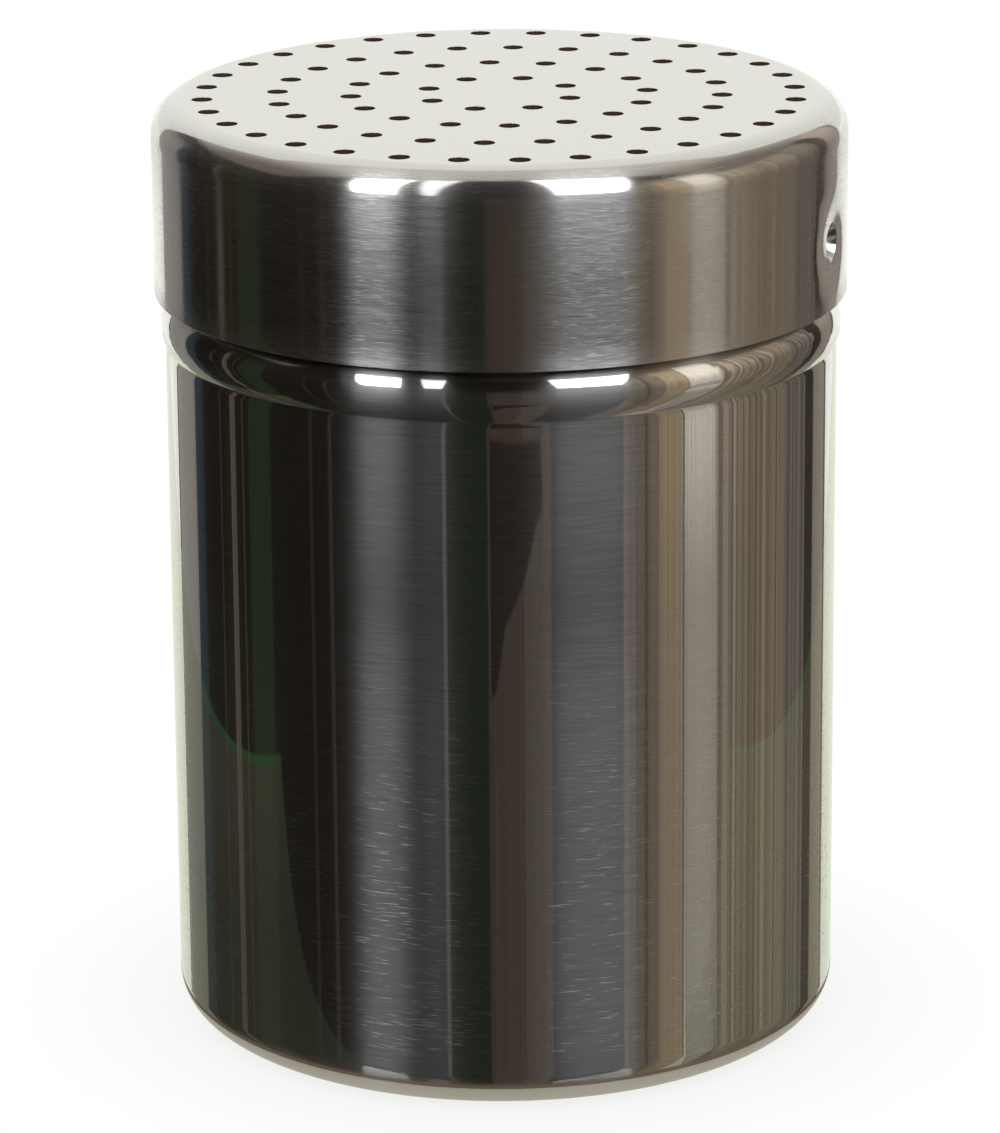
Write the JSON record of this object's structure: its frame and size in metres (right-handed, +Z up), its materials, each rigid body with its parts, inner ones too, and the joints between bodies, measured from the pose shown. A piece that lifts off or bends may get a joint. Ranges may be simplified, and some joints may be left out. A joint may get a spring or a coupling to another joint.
{
  "type": "spice shaker",
  "caption": "Cylindrical metal spice shaker: a drawn cup with a bead below its neck, and a flat perforated cap that lifts off and locks by two dimples.",
  "frame": {"origin": "centre of the base, on the surface that the shaker stands on", "axes": "+Z up along the axis of the cup; X through the two dimples of the cap"},
  "size_m": [0.07, 0.07, 0.096],
  "materials": {
    "body_steel": "mirror-polished stainless steel with fine marks round the wall",
    "cap_steel": "mirror-polished stainless steel with fine marks round the skirt"
  },
  "bodies": {
    "cup": {"shaker_body": "body_steel"},
    "cap": {"perforated_cap": "cap_steel"}
  },
  "joints": [
    {"name": "cap_lift", "type": "slide", "parent": "cup", "child": "cap", "axis": [0, 0, 1], "range_m": [0, 0.045]}
  ]
}
